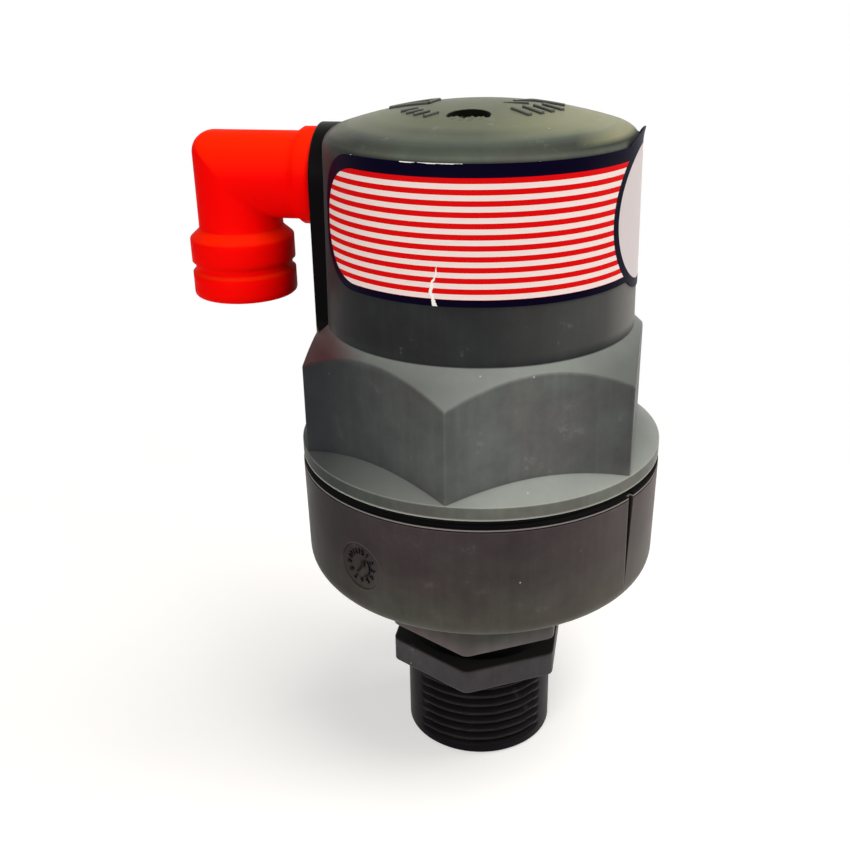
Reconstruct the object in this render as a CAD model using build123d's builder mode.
"""Air release valve: a float chamber with a slotted orifice, a rolling seal and a swivelling drain elbow.

Millimetres. Z is up and is the valve's axis, Z = 0 is the end face of the inlet, and the discharge port
opens towards -X.
"""
from build123d import *
import math
import os

os.makedirs("parts", exist_ok=True)

# Inlet nipple and waterway
inlet_radius = 16.62            # major radius of a 1 inch pipe thread
inlet_length = 19.8
inlet_end_chamfer = 0.5
waterway_radius = 11.5

# Wrench hexagon of the base: two plates with a groove between them
wrench_flats = 36.2
wrench_corner_round = 2.2
wrench_turn = 1.5               # degrees that the base stopped past the body's hexagon
lower_plate = 5.5
plate_groove = 4.1
groove_core_radius = 15.6

# Base bowl
base_radius = 38.2              # at the rim
base_draft = 0.85               # degrees
rim_height = 70.6
bowl_corner_height = 46.65      # where the wall and the cone would meet, unrounded
bowl_corner_round = 5.3
bowl_inner_round = 2.65
bowl_neck_radius = 21.0
bowl_neck_height = 38.1
base_wall = 3.5
rim_wall = 4.08                 # around the thread that takes the body
rim_edge_round = 0.4
rim_bead_height = 0.75
rim_bead_depth = 0.2
rim_bead_groove = 0.3
float_rib_count = 6
float_rib_width = 2.0
float_rib_top = 47.0
float_rib_inner = 12.6
float_rib_end = 4.1             # from the ribs' outer ends to the thread

# Marks moulded into the base
taper_mark_angle = 61.0         # degrees from -Y towards +X
taper_mark_width = 1.9
taper_mark_length = 21.0
taper_mark_depth = 0.9
date_mark_angle = -28.8
date_mark_height = 57.3
date_mark_radius = 4.1
date_mark_depth = 0.3

# Screwed joint between base and body
joint_gap = 1.6                 # height of the seal between rim and flange
skirt_length = 16.5
skirt_wall = 4.2
thread_clearance = 0.12
body_ring_inset = 1.1           # from the base's side to the ring
body_ring_round = 0.7

# Body
flange_inset = 0.1              # from the base's side to the flange's
flange_edge = 2.7
flange_slope = 30.0             # degrees
hexagon_inset = 0.1             # from the flange's side to the hexagon's corners
hexagon_overlap = 1.0           # the flange's slope runs on inside the hexagon
hexagon_corner_height = 93.6    # where the top chamfer meets the corners
hexagon_chamfer = 44.0          # degrees
hexagon_edge_round = 0.5
body_inset = 1.45               # from the hexagon's flats to the foot of the drafted cylinder
body_draft = 1.03               # degrees
body_foot_height = 100.0
dome_top = 143.0
crown_radius = 92.0
shoulder_round = 4.0
body_wall = 3.2
dome_wall = 3.0
chamber_shoulder = 97.0
inner_shoulder_round = 2.0
room_taper = 0.6                # the room under the dome narrows by this much
guide_rib_count = 6
guide_rib_width = 2.4
guide_rib_depth = 1.8
guide_rib_root = 0.6            # part of a rib that lies inside the wall
guide_rib_clear = 4.0           # free length below and above the ribs
gate_recess_radius = 4.1
gate_recess_depth = 2.2
gate_recess_offset = 13.2

# Side port and its pad
port_height = 128.0
pad_rise = 0.75                 # the pad's face past the cylinder's foot
pad_half_width = 10.6
pad_foot = 95.0
pad_root = 11.0                 # the pad starts this far from the axis, behind the wall
pad_edge_round = 0.7
port_radius = 7.6
port_depth = 10.7
duct_radius = 5.5
duct_wall = 3.9
undercut_radius = 8.05
undercut_width = 1.7
undercut_inset = 8.0            # from the pad's face to the undercut

# Nozzle boss and orifice plug
boss_radius = 10.4
boss_foot = 112.0
plug_thread_radius = 7.0
plug_thread_depth = 7.5
plug_head_radius = 10.2
plug_head = 3.0
plug_neck_bore = 4.2
plug_neck_short = 0.5           # neck ends this far before the thread's end
plug_floor = 1.0                # left between the neck's bore and the head's foot
plug_edge_round = 0.8
seat_block_length = 8.5         # from the axis towards -X
seat_block_width = 9.0
seat_drop = 2.5                 # seat face below the plug's head
clamp_reach = 13.0              # from the axis towards +X
clamp_start = 6.5
clamp_half_width = 7.0
slot_length = 8.0
slot_width = 1.5
slot_offset = -1.5
plug_ring_mid = 8.55
plug_ring_width = 1.5
plug_ring_height = 1.2

# Rolling seal, its cover and screws
strip_width = 6.4
strip_thickness = 1.4
strip_clearance = 0.05
strip_bend = 3.0
strip_free_start = 2.5          # where the strip leaves the seat, from the axis
strip_level_run = 5.5           # level length beside the stem
bulb_radius = 1.6
cover_thickness = 1.9
screw_x = 9.8
screw_y = 5.0
screw_radius = 1.25
screw_head_radius = 2.1
screw_head = 1.4
screw_grip = 4.0                # length of shank inside the plug
screw_tip_room = 0.3            # free depth past the screw's tip
screw_clearance = 0.05
screw_slot_width = 0.6
screw_slot_depth = 0.6

# Float and clamping stem
float_side_clearance = 0.4      # to the guide ribs
float_clearance = 0.3           # above the ribs of the base at rest
float_height = 44.7
float_edge_round = 3.0
float_travel = 5.0
stem_disc_radius = 15.0
stem_disc = 2.0
stem_spigot_radius = 5.0
stem_spigot_depth = 9.0
stem_post_length = 5.0
stem_post_width = 9.0
stem_post_gap = 0.5             # beside the seat block when the float is up
stem_bulb_drop = 2.0            # bulb below the seat face when the float is up
stem_cap = 1.2                  # material above the bulb
stem_slot = 1.6
stem_clearance = 0.1

# Discharge elbow
elbow_reach = 51.0              # from the valve's axis to the drain's axis
leg_radius = 8.8
leg_corner_round = 4.2
elbow_bore = 5.0
collar_radius = 9.7
collar_width = 3.4
collar_slope = 1.3
collar_gap = 0.2
spigot_clearance = 0.05
spigot_length = 10.2
spigot_ridge = 0.35
spigot_ridge_width = 1.2
ring_groove_width = 2.0
ring_groove_depth = 1.1
ring_groove_inset = 3.0
ring_side_clearance = 0.15
ring_round_share = 0.4          # edge round of the small rings, as a share of their height
socket_radius = 10.9
socket_top = 115.2
socket_shoulder = 1.9
socket_foot = 103.0
socket_groove_height = 109.2
socket_groove_width = 2.4
socket_groove_depth = 0.7
socket_foot_round = 0.8
socket_top_round = 0.6
drain_radius = 7.5
drain_depth = 12.0

# Label
label_foot = 111.5
label_top = 136.2
label_half_angle = 148.1        # degrees each way from +X
label_corner_round = 6.0
label_disc_radius = 14.2
label_disc_height = 123.2
label_thickness = 0.25
label_gap = 0.02

cut_over = 1.0                  # cuts run past the faces that they open

# Sizes that follow
base_bore = base_radius - rim_wall
skirt_radius = base_bore - thread_clearance
chamber_radius = skirt_radius - skirt_wall
flange_radius = base_radius - flange_inset
hexagon_corner = flange_radius - hexagon_inset
hexagon_flats = 2 * hexagon_corner * math.cos(math.pi / 6)
body_radius = hexagon_flats / 2 - body_inset
pad_face = body_radius + pad_rise
float_radius = chamber_radius - guide_rib_depth - float_side_clearance
float_rib_outer = base_bore - float_rib_end
body_ring_outer = base_radius - body_ring_inset
plate_one_top = inlet_length + lower_plate
plate_two_foot = plate_one_top + plate_groove
flange_foot = rim_height + joint_gap
flange_top = flange_foot + flange_edge
skirt_foot = flange_foot - skirt_length
wrench_corner = wrench_flats / 2 / math.cos(math.pi / 6)
crown_centre = dome_top - crown_radius
seat_face = boss_foot - plug_head - seat_drop
float_foot = float_rib_top + float_clearance
float_top = float_foot + float_height
bulb_height = seat_face - stem_bulb_drop - float_travel
stem_post_x = -(seat_block_length + stem_post_gap + stem_post_length / 2)


def body_radius_at(height):
    """Radius of the drafted body cylinder at a height."""
    return body_radius - (height - body_foot_height) * math.tan(math.radians(body_draft))


def base_radius_at(height):
    """Radius of the drafted base wall at a height."""
    return base_radius - (rim_height - height) * math.tan(math.radians(base_draft))


def crown_height(radius, drop=0.0):
    """Height of the crown at a radius, for the outer skin or one that lies lower by a wall."""
    return crown_centre + math.sqrt((crown_radius - drop) ** 2 - radius ** 2)


def corner(sketch, across, up):
    """Vertex of a sketch that lies nearest to a point of the sketch's own plane."""
    return sketch.vertices().sort_by_distance((across, up, 0))[0]


def wall_plane(angle, radius, height):
    """Plane that faces outward from the axis, at an angle in degrees from -Y towards +X."""
    turn = math.radians(angle)
    outward = Vector(math.sin(turn), -math.cos(turn), 0)
    return Plane(origin=outward * radius + Vector(0, 0, height), x_dir=outward.rotate(Axis.Z, 90),
                 z_dir=outward)


# Base
shoulder_radius = base_radius_at(bowl_corner_height)
cone_rise = (bowl_corner_height - bowl_neck_height) / (shoulder_radius - bowl_neck_radius)
cone_wall = base_wall * math.hypot(1, cone_rise)


def cone_height(radius, lift=0.0):
    """Height of the bowl's cone at a radius."""
    return bowl_neck_height + (radius - bowl_neck_radius) * cone_rise + lift


with BuildPart() as base:
    with BuildSketch(Plane.XZ) as bowl_outline:
        with BuildLine():
            Polyline((0, cone_height(0)), (shoulder_radius, bowl_corner_height), (base_radius, rim_height),
                     (0, rim_height), close=True)
        make_face()
        fillet(corner(bowl_outline, shoulder_radius, bowl_corner_height), bowl_corner_round)
        fillet(corner(bowl_outline, base_radius, rim_height), rim_edge_round)
    revolve(axis=Axis.Z)
    # fine step under the rim, left by the mould's stripper ring
    with BuildSketch(Plane.XZ) as bead_step:
        with Locations((base_radius, rim_height - rim_bead_height)):
            Rectangle(2 * rim_bead_depth, rim_bead_groove)
    revolve(axis=Axis.Z, mode=Mode.SUBTRACT)
    # wrench plates, groove core and nipple
    for foot, top in ((inlet_length, plate_one_top), (plate_two_foot, cone_height(wrench_corner, base_wall))):
        with BuildSketch(Plane.XY.offset(foot)) as plate:
            RegularPolygon(wrench_corner, 6, rotation=30 + wrench_turn)
            fillet(plate.vertices(), wrench_corner_round)
        extrude(amount=top - foot)
    with BuildSketch(Plane.XY.offset(inlet_length)):
        Circle(groove_core_radius)
    extrude(amount=plate_two_foot - inlet_length + lower_plate)
    with BuildSketch(Plane.XY):
        Circle(inlet_radius)
    extrude(amount=inlet_length + lower_plate / 2)
    chamfer(base.faces().sort_by(Axis.Z)[0].edges().sort_by(SortBy.LENGTH)[-1], inlet_end_chamfer)
    # room inside for the skirt and the float
    with BuildSketch(Plane.XZ) as bowl_room:
        with BuildLine():
            Polyline((0, cone_height(0, cone_wall)), (base_bore, cone_height(base_bore, cone_wall)),
                     (base_bore, rim_height), (0, rim_height), close=True)
        make_face()
        fillet(corner(bowl_room, base_bore, cone_height(base_bore, cone_wall)), bowl_inner_round)
    revolve(axis=Axis.Z, mode=Mode.SUBTRACT)
    # radial ribs that carry the float when the valve is empty
    rib_planes = [Plane.XZ.rotated((0, 0, 360 / float_rib_count * turn)) for turn in range(float_rib_count)]
    with BuildSketch(*rib_planes):
        with BuildLine():
            Polyline((float_rib_inner, cone_height(float_rib_inner, cone_wall / 2)),
                     (float_rib_outer, cone_height(float_rib_outer, cone_wall / 2)),
                     (float_rib_outer, float_rib_top), (float_rib_inner, float_rib_top), close=True)
        make_face()
    extrude(amount=float_rib_width / 2, both=True)
    with BuildSketch(Plane.XY):
        Circle(waterway_radius)
    extrude(amount=rim_height, mode=Mode.SUBTRACT)
    # tapered mark below the rim and the round date mark
    with BuildSketch(wall_plane(taper_mark_angle, base_radius + cut_over, rim_height)):
        with BuildLine():
            Polyline((-taper_mark_width / 2, 0), (taper_mark_width / 2, 0), (0, -taper_mark_length),
                     close=True)
        make_face()
    extrude(amount=-cut_over - taper_mark_depth, mode=Mode.SUBTRACT)
    mark_radius = base_radius_at(date_mark_height)
    with BuildSketch(wall_plane(date_mark_angle, mark_radius - date_mark_depth, date_mark_height)):
        Circle(date_mark_radius)
    extrude(amount=date_mark_depth + cut_over, mode=Mode.SUBTRACT)
base.part.label = "base"

# Body
flange_rise = math.tan(math.radians(flange_slope))
chamfer_rise = math.tan(math.radians(hexagon_chamfer))
hexagon_top = hexagon_corner_height + (hexagon_corner - body_radius) * chamfer_rise
shoulder_edge_radius = body_radius_at(crown_height(body_radius_at(dome_top)))
room_radius = body_radius - body_wall
room_top_radius = room_radius - room_taper
room_edge_height = crown_height(room_top_radius, dome_wall)

with BuildPart() as upper_body:
    with BuildSketch(Plane.XY.offset(flange_foot)) as hexagon:
        RegularPolygon(hexagon_corner, 6, rotation=30)
        fillet(hexagon.vertices(), hexagon_edge_round)
    extrude(amount=hexagon_top - flange_foot)
    with BuildSketch(Plane.XZ):
        with BuildLine():
            Polyline((0, flange_foot), (hexagon_corner, flange_foot), (hexagon_corner, hexagon_corner_height),
                     (body_radius, hexagon_top), (0, hexagon_top), close=True)
        make_face()
    revolve(axis=Axis.Z, mode=Mode.INTERSECT)
    # flange with its sloping top, and the skirt below it
    hexagon_waist = hexagon_flats / 2 - hexagon_overlap
    with BuildSketch(Plane.XZ):
        with BuildLine():
            Polyline((0, skirt_foot), (skirt_radius, skirt_foot), (skirt_radius, flange_foot),
                     (flange_radius, flange_foot), (flange_radius, flange_top),
                     (hexagon_waist, flange_top + (flange_radius - hexagon_waist) * flange_rise),
                     (0, flange_top + (flange_radius - hexagon_waist) * flange_rise), close=True)
        make_face()
    revolve(axis=Axis.Z)
    # drafted cylinder and dome
    with BuildSketch(Plane.XZ) as dome:
        with BuildLine():
            Line((0, flange_top), (body_radius, flange_top))
            Line((body_radius, flange_top), (body_radius, body_foot_height))
            Line((body_radius, body_foot_height), (shoulder_edge_radius, crown_height(shoulder_edge_radius)))
            RadiusArc((shoulder_edge_radius, crown_height(shoulder_edge_radius)), (0, dome_top),
                      -crown_radius)
            Line((0, dome_top), (0, flange_top))
        make_face()
        fillet(corner(dome, shoulder_edge_radius, crown_height(shoulder_edge_radius)), shoulder_round)
    revolve(axis=Axis.Z)
    # pad of the side port, a tombstone outline that runs down to the hexagon
    with BuildSketch(Plane.YZ.offset(-pad_face)):
        with BuildLine():
            Line((-pad_half_width, pad_foot), (pad_half_width, pad_foot))
            Line((pad_half_width, pad_foot), (pad_half_width, port_height))
            ThreePointArc((pad_half_width, port_height), (0, port_height + pad_half_width),
                          (-pad_half_width, port_height))
            Line((-pad_half_width, port_height), (-pad_half_width, pad_foot))
        make_face()
    extrude(amount=pad_face - pad_root)
    pad_front = upper_body.faces().filter_by(Axis.X).sort_by(Axis.X)[0]
    fillet(pad_front.edges().filter_by(lambda edge: edge.center().Z > pad_foot + pad_edge_round),
           pad_edge_round)
    # float chamber
    with BuildSketch(Plane.XZ) as chamber:
        with BuildLine():
            Line((0, skirt_foot), (chamber_radius, skirt_foot))
            Line((chamber_radius, skirt_foot), (chamber_radius, chamber_shoulder))
            Line((chamber_radius, chamber_shoulder), (room_radius, body_foot_height))
            Line((room_radius, body_foot_height), (room_top_radius, room_edge_height))
            RadiusArc((room_top_radius, room_edge_height), (0, dome_top - dome_wall),
                      dome_wall - crown_radius)
            Line((0, dome_top - dome_wall), (0, skirt_foot))
        make_face()
        fillet(corner(chamber, room_top_radius, room_edge_height), inner_shoulder_round)
    revolve(axis=Axis.Z, mode=Mode.SUBTRACT)
    # guide ribs for the float
    rib_foot = skirt_foot + guide_rib_clear
    with BuildSketch(Plane.XY.offset(rib_foot)):
        with PolarLocations(chamber_radius + (guide_rib_root - guide_rib_depth) / 2, guide_rib_count,
                            start_angle=30):
            Rectangle(guide_rib_depth + guide_rib_root, guide_rib_width)
    extrude(amount=chamber_shoulder - rib_foot - guide_rib_clear)
    # nozzle boss hanging from the crown, and the duct to the port
    with BuildSketch(Plane.XY.offset(boss_foot)):
        Circle(boss_radius)
    extrude(amount=dome_top - dome_wall / 2 - boss_foot)
    with BuildSketch(Plane.YZ):
        with Locations((0, port_height)):
            Circle(duct_radius + duct_wall)
    extrude(amount=-(body_radius_at(port_height) - body_wall / 2))
    with BuildSketch(Plane.XY.offset(boss_foot)):
        Circle(plug_thread_radius)
    extrude(amount=plug_thread_depth, mode=Mode.SUBTRACT)
    with BuildSketch(Plane.XY.offset(boss_foot)):
        Circle(duct_radius)
    extrude(amount=port_height - boss_foot, mode=Mode.SUBTRACT)
    with BuildSketch(Plane.YZ.offset(duct_radius)):
        with Locations((0, port_height)):
            Circle(duct_radius)
    extrude(amount=-duct_radius - pad_face, mode=Mode.SUBTRACT)
    with BuildSketch(Plane.YZ.offset(-pad_face)):
        with Locations((0, port_height)):
            Circle(port_radius)
    extrude(amount=port_depth, mode=Mode.SUBTRACT)
    with BuildSketch(Plane.YZ.offset(-pad_face + undercut_inset)):
        with Locations((0, port_height)):
            Circle(undercut_radius)
    extrude(amount=undercut_width, mode=Mode.SUBTRACT)
    # gate recess in the crown
    gate_normal = Vector(0, -gate_recess_offset, crown_height(gate_recess_offset) - crown_centre).normalized()
    gate_point = Vector(0, -gate_recess_offset, crown_height(gate_recess_offset))
    with BuildSketch(Plane(origin=gate_point - gate_normal * gate_recess_depth, z_dir=gate_normal)):
        Circle(gate_recess_radius)
    extrude(amount=gate_recess_depth + cut_over, mode=Mode.SUBTRACT)
upper_body.part.label = "upper_body"

# Ring between rim and flange
with BuildPart() as body_o_ring:
    ring_width = body_ring_outer - skirt_radius - thread_clearance
    with BuildSketch(Plane.XZ) as ring_section:
        with Locations((body_ring_outer - ring_width / 2, rim_height + joint_gap / 2)):
            Rectangle(ring_width, joint_gap)
        fillet(ring_section.vertices(), body_ring_round)
    revolve(axis=Axis.Z)
body_o_ring.part.label = "body_o_ring"

# Orifice plug: head and threaded neck in the boss, seat block with the slot underneath
with BuildPart() as orifice_plug:
    with BuildSketch(Plane.XY.offset(boss_foot - plug_head)):
        Circle(plug_head_radius)
    extrude(amount=plug_head)
    with BuildSketch(Plane.XY.offset(boss_foot)):
        Circle(plug_thread_radius - thread_clearance)
    extrude(amount=plug_thread_depth - plug_neck_short)
    with BuildSketch(Plane.XY.offset(seat_face)) as block:
        with Locations(((clamp_start - seat_block_length) / 2, 0)):
            Rectangle(clamp_start + seat_block_length, seat_block_width)
        with Locations(((clamp_start + clamp_reach) / 2, 0)):
            Rectangle(clamp_reach - clamp_start, 2 * clamp_half_width)
    extrude(amount=seat_drop + plug_head / 2)
    block_edges = orifice_plug.edges().filter_by(Axis.Z)
    fillet(block_edges.filter_by(lambda edge: edge.center().Z < boss_foot - plug_head), plug_edge_round)
    with BuildSketch(Plane.XY.offset(boss_foot + plug_thread_depth)):
        Circle(plug_neck_bore)
    extrude(amount=-plug_thread_depth - plug_head + plug_floor, mode=Mode.SUBTRACT)
    with BuildSketch(Plane.XY.offset(seat_face)):
        with Locations((slot_offset, 0)):
            SlotOverall(slot_length, slot_width)
    extrude(amount=plug_head + seat_drop, mode=Mode.SUBTRACT)
    with BuildSketch(Plane.XZ):
        with Locations((plug_ring_mid, boss_foot - plug_ring_height / 2)):
            Rectangle(plug_ring_width, plug_ring_height)
    revolve(axis=Axis.Z, mode=Mode.SUBTRACT)
    with BuildSketch(Plane.XY.offset(seat_face)):
        with Locations((screw_x, screw_y), (screw_x, -screw_y)):
            Circle(screw_radius)
    extrude(amount=screw_grip + screw_tip_room, mode=Mode.SUBTRACT)
orifice_plug.part.label = "orifice_plug"

with BuildPart() as plug_o_ring:
    with BuildSketch(Plane.XZ) as face_ring:
        with Locations((plug_ring_mid, boss_foot - plug_ring_height / 2)):
            Rectangle(plug_ring_width, plug_ring_height)
        fillet(face_ring.vertices(), plug_ring_height * ring_round_share)
    revolve(axis=Axis.Z)
plug_o_ring.part.label = "plug_o_ring"

# Cover that clamps the strip, with a shallow slot for it
strip_foot = seat_face - strip_thickness
cover_foot = strip_foot - cover_thickness
with BuildPart() as plug_cover:
    with BuildSketch(Plane.XY.offset(cover_foot)) as cover_plate:
        with Locations(((clamp_start + clamp_reach) / 2, 0)):
            Rectangle(clamp_reach - clamp_start, 2 * clamp_half_width)
        fillet(cover_plate.vertices(), plug_edge_round)
    extrude(amount=seat_face - cover_foot)
    with BuildSketch(Plane.YZ.offset(clamp_start - cut_over)):
        with Locations((0, seat_face - strip_thickness / 2)):
            Rectangle(strip_width + 2 * strip_clearance, strip_thickness)
    extrude(amount=clamp_reach - clamp_start + 2 * cut_over, mode=Mode.SUBTRACT)
    with BuildSketch(Plane.XY.offset(cover_foot)):
        with Locations((screw_x, screw_y), (screw_x, -screw_y)):
            Circle(screw_radius + screw_clearance)
    extrude(amount=seat_face - cover_foot, mode=Mode.SUBTRACT)
plug_cover.part.label = "plug_cover"

with BuildPart() as plug_screws:
    with Locations((screw_x, screw_y, cover_foot), (screw_x, -screw_y, cover_foot)):
        Cylinder(screw_radius - screw_clearance, seat_face - cover_foot + screw_grip,
                 align=(Align.CENTER, Align.CENTER, Align.MIN))
        Cylinder(screw_head_radius, screw_head, align=(Align.CENTER, Align.CENTER, Align.MAX))
    fillet(plug_screws.faces().sort_by(Axis.Z)[0:2].edges(), screw_head * 0.4)
    with BuildSketch(Plane.XY.offset(cover_foot - screw_head)):
        with Locations((screw_x, screw_y), (screw_x, -screw_y)):
            Rectangle(2 * screw_head_radius, screw_slot_width)
    extrude(amount=screw_slot_depth, mode=Mode.SUBTRACT)
plug_screws.part.label = "plug_screws"

# Rolling seal: flat under the cover, then rolled down to the bulb on the stem
strip_middle = seat_face - strip_thickness / 2
with BuildPart() as rolling_seal:
    with BuildSketch(Plane.XZ.offset(-strip_width / 2)):
        with BuildLine() as strip_path:
            FilletPolyline((clamp_reach, strip_middle), (strip_free_start, strip_middle),
                           (stem_post_x + strip_level_run, bulb_height), (stem_post_x, bulb_height),
                           radius=strip_bend)
        trace(line_width=strip_thickness)
        with Locations((stem_post_x, bulb_height)):
            Circle(bulb_radius)
    extrude(amount=strip_width)
rolling_seal.part.label = "rolling_seal"

# Clamping stem on the float
with BuildPart() as clamping_stem:
    with BuildSketch(Plane.XY.offset(float_top)):
        Circle(stem_disc_radius)
    extrude(amount=stem_disc)
    with BuildSketch(Plane.XY.offset(float_top)):
        Circle(stem_spigot_radius)
    extrude(amount=-stem_spigot_depth)
    with BuildSketch(Plane.XY.offset(float_top + stem_disc)) as post:
        with Locations((stem_post_x, 0)):
            Rectangle(stem_post_length, stem_post_width)
    extrude(amount=bulb_height + stem_cap + stem_clearance + bulb_radius - float_top - stem_disc)
    with BuildSketch(Plane.XZ.offset(-stem_post_width)):
        with Locations((stem_post_x, bulb_height)):
            Circle(bulb_radius + stem_clearance)
        with Locations((stem_post_x + stem_post_length / 2, bulb_height)):
            Rectangle(stem_post_length, stem_slot)
    extrude(amount=2 * stem_post_width, mode=Mode.SUBTRACT)
clamping_stem.part.label = "clamping_stem"

# Float, with the socket for the stem
with BuildPart() as float_body:
    with BuildSketch(Plane.XY.offset(float_foot)):
        Circle(float_radius)
    extrude(amount=float_height)
    fillet(float_body.edges().filter_by(GeomType.CIRCLE), float_edge_round)
    with BuildSketch(Plane.XY.offset(float_top)):
        Circle(stem_spigot_radius + stem_clearance)
    extrude(amount=-stem_spigot_depth - stem_clearance, mode=Mode.SUBTRACT)
float_body.part.label = "float"

# Discharge elbow: two mitred legs, collar and spigot towards the body, socket facing down
elbow_corner = Plane(origin=(-elbow_reach, 0, port_height), x_dir=(0, 1, 0), z_dir=(1, 0, 1))
with BuildPart() as level_leg:
    with BuildSketch(Plane.YZ.offset(-elbow_reach - leg_radius)):
        with Locations((0, port_height)):
            Circle(leg_radius)
    extrude(amount=elbow_reach + leg_radius - pad_face - collar_gap)
    fillet(level_leg.faces().sort_by(Axis.X)[0].edges(), leg_corner_round)
    split(bisect_by=elbow_corner, keep=Keep.TOP)
with BuildPart() as down_leg:
    with BuildSketch(Plane.XY.offset(port_height + leg_radius)):
        with Locations((-elbow_reach, 0)):
            Circle(leg_radius)
    extrude(amount=socket_top - port_height - leg_radius)
    fillet(down_leg.faces().sort_by(Axis.Z)[-1].edges(), leg_corner_round)
    split(bisect_by=elbow_corner, keep=Keep.BOTTOM)

spigot_radius = port_radius - spigot_clearance
collar_face = -pad_face - collar_gap
spigot_end = -pad_face + spigot_length
with BuildPart() as discharge_elbow:
    add(level_leg.part)
    add(down_leg.part)
    # collar, spigot with the ring groove and the snap ridge, turned about the port's axis
    with BuildSketch(Plane.XZ) as spigot_profile:
        ring_groove = collar_face + ring_groove_inset
        ridge_start = -pad_face + undercut_inset + (undercut_width - spigot_ridge_width) / 2
        with BuildLine():
            Polyline((collar_face - collar_width - collar_slope, port_height),
                     (collar_face - collar_width - collar_slope, port_height + leg_radius),
                     (collar_face - collar_width, port_height + collar_radius),
                     (collar_face, port_height + collar_radius),
                     (collar_face, port_height + spigot_radius),
                     (ring_groove, port_height + spigot_radius),
                     (ring_groove, port_height + spigot_radius - ring_groove_depth),
                     (ring_groove + ring_groove_width, port_height + spigot_radius - ring_groove_depth),
                     (ring_groove + ring_groove_width, port_height + spigot_radius),
                     (ridge_start, port_height + spigot_radius),
                     (ridge_start, port_height + spigot_radius + spigot_ridge),
                     (ridge_start + spigot_ridge_width / 2, port_height + spigot_radius + spigot_ridge),
                     (spigot_end, port_height + spigot_radius - spigot_ridge),
                     (spigot_end, port_height), close=True)
        make_face()
    revolve(axis=Axis((0, 0, port_height), (1, 0, 0)))
    # socket with its shoulder and the groove around it
    with BuildSketch(Plane.XZ) as socket_profile:
        with BuildLine():
            Polyline((-elbow_reach, socket_foot), (-elbow_reach - socket_radius, socket_foot),
                     (-elbow_reach - socket_radius, socket_groove_height - socket_groove_width / 2),
                     (-elbow_reach - socket_radius + socket_groove_depth,
                      socket_groove_height - socket_groove_width / 4),
                     (-elbow_reach - socket_radius + socket_groove_depth,
                      socket_groove_height + socket_groove_width / 4),
                     (-elbow_reach - socket_radius, socket_groove_height + socket_groove_width / 2),
                     (-elbow_reach - socket_radius, socket_top),
                     (-elbow_reach - leg_radius, socket_top + socket_shoulder),
                     (-elbow_reach, socket_top + socket_shoulder), close=True)
        make_face()
        fillet(corner(socket_profile, -elbow_reach - socket_radius, socket_foot), socket_foot_round)
        fillet(corner(socket_profile, -elbow_reach - socket_radius, socket_top), socket_top_round)
    revolve(axis=Axis((-elbow_reach, 0, 0), (0, 0, 1)))
    # waterways
    with BuildSketch(Plane.YZ.offset(-elbow_reach)):
        with Locations((0, port_height)):
            Circle(elbow_bore)
    extrude(amount=elbow_reach - pad_face + spigot_length, mode=Mode.SUBTRACT)
    with BuildSketch(Plane.XY.offset(socket_foot)):
        with Locations((-elbow_reach, 0)):
            Circle(elbow_bore)
    extrude(amount=port_height - socket_foot, mode=Mode.SUBTRACT)
    with Locations((-elbow_reach, 0, port_height)):
        Sphere(elbow_bore, mode=Mode.SUBTRACT)
    with BuildSketch(Plane.XY.offset(socket_foot)):
        with Locations((-elbow_reach, 0)):
            Circle(drain_radius)
    extrude(amount=drain_depth, mode=Mode.SUBTRACT)
discharge_elbow.part.label = "discharge_elbow"

with BuildPart() as elbow_o_ring:
    with BuildSketch(Plane.XZ) as spigot_ring:
        with Locations((ring_groove + ring_groove_width / 2,
                        port_height + spigot_radius - ring_groove_depth / 2)):
            Rectangle(ring_groove_width - 2 * ring_side_clearance, ring_groove_depth)
        fillet(spigot_ring.vertices(), ring_groove_depth * ring_round_share)
    revolve(axis=Axis((0, 0, port_height), (1, 0, 0)))
elbow_o_ring.part.label = "elbow_o_ring"

# Label: a band wrapped around the body with a round field opposite the port
with BuildPart() as label_outline:
    with BuildSketch(Plane.XZ.rotated((0, 0, -label_half_angle))):
        with Locations((body_radius, (label_foot + label_top) / 2)):
            Rectangle(body_radius / 2, label_top - label_foot)
    revolve(axis=Axis.Z, revolution_arc=2 * label_half_angle)
    for side in (-1, 1):
        end_angle = 90 + side * label_half_angle
        with BuildSketch(wall_plane(end_angle, body_radius / 2, (label_foot + label_top) / 2)) as corner_cut:
            Rectangle(4 * label_corner_round, label_top - label_foot + 2 * cut_over)
            with Locations((-side * 2 * label_corner_round, 0)):
                RectangleRounded(4 * label_corner_round, label_top - label_foot, label_corner_round,
                                 mode=Mode.SUBTRACT)
        extrude(amount=body_radius, mode=Mode.SUBTRACT)
    with BuildSketch(Plane.YZ):
        with Locations((0, label_disc_height)):
            Circle(label_disc_radius)
    extrude(amount=2 * body_radius)
with BuildPart() as label:
    shell_foot = label_disc_height - label_disc_radius - cut_over
    shell_top = label_disc_height + label_disc_radius + cut_over
    with BuildSketch(Plane.XZ):
        with BuildLine():
            Polyline((body_radius_at(shell_foot) + label_gap, shell_foot),
                     (body_radius_at(shell_foot) + label_gap + label_thickness, shell_foot),
                     (body_radius_at(shell_top) + label_gap + label_thickness, shell_top),
                     (body_radius_at(shell_top) + label_gap, shell_top), close=True)
        make_face()
    revolve(axis=Axis.Z)
    add(label_outline.part, mode=Mode.INTERSECT)
label.part.label = "label"

for piece in (base, upper_body, body_o_ring, orifice_plug, plug_o_ring, plug_cover, plug_screws, rolling_seal,
              clamping_stem, float_body, discharge_elbow, elbow_o_ring, label):
    export_step(piece.part, f"parts/{piece.part.label}.step")
